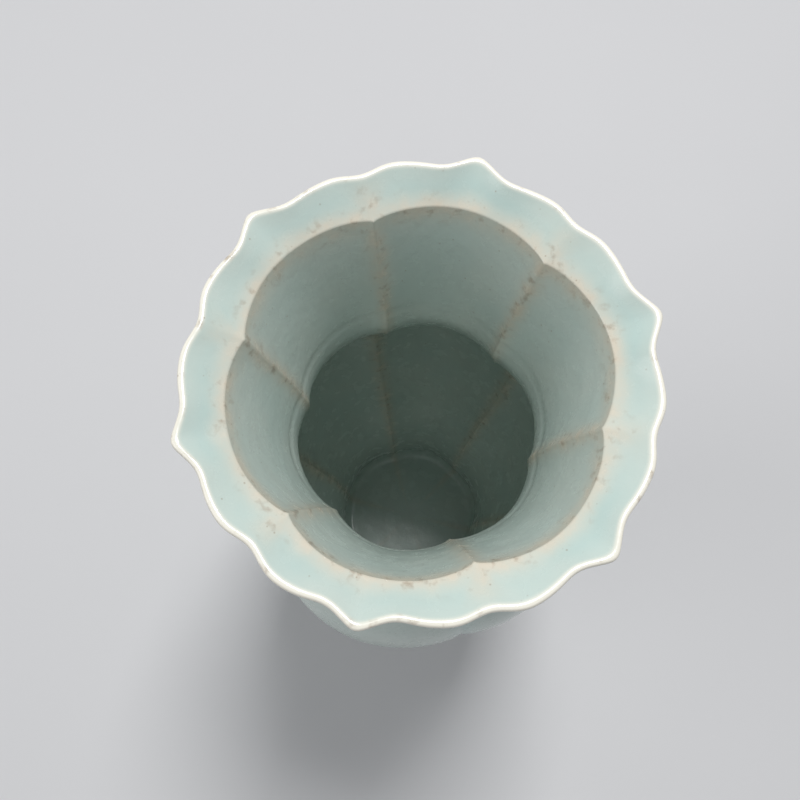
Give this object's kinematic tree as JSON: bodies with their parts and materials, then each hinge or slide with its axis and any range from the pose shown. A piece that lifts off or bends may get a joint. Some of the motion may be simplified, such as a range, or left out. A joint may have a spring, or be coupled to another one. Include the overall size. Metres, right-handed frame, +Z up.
{
  "type": "vase",
  "caption": "Lobed baluster vase with an everted foliate mouth, waisted neck and recessed foot ring, for holding cut flowers.",
  "frame": {"origin": "centre of the foot ring, on the plane that the vase stands on", "axes": "+Z up along the vase's axis, +Y towards one petal tip of the mouth"},
  "size_m": [0.1092, 0.113, 0.222],
  "materials": {
    "celadon_glaze": "gloss",
    "slip": "matte"
  },
  "bodies": {
    "root": {"mouth_lip": "celadon_glaze", "lip_seam": "slip", "neck": "celadon_glaze", "neck_seam": "slip", "shoulder": "celadon_glaze", "belly_seam": "slip", "lower_body": "celadon_glaze", "foot_seam": "slip", "foot": "celadon_glaze"}
  },
  "joints": []
}
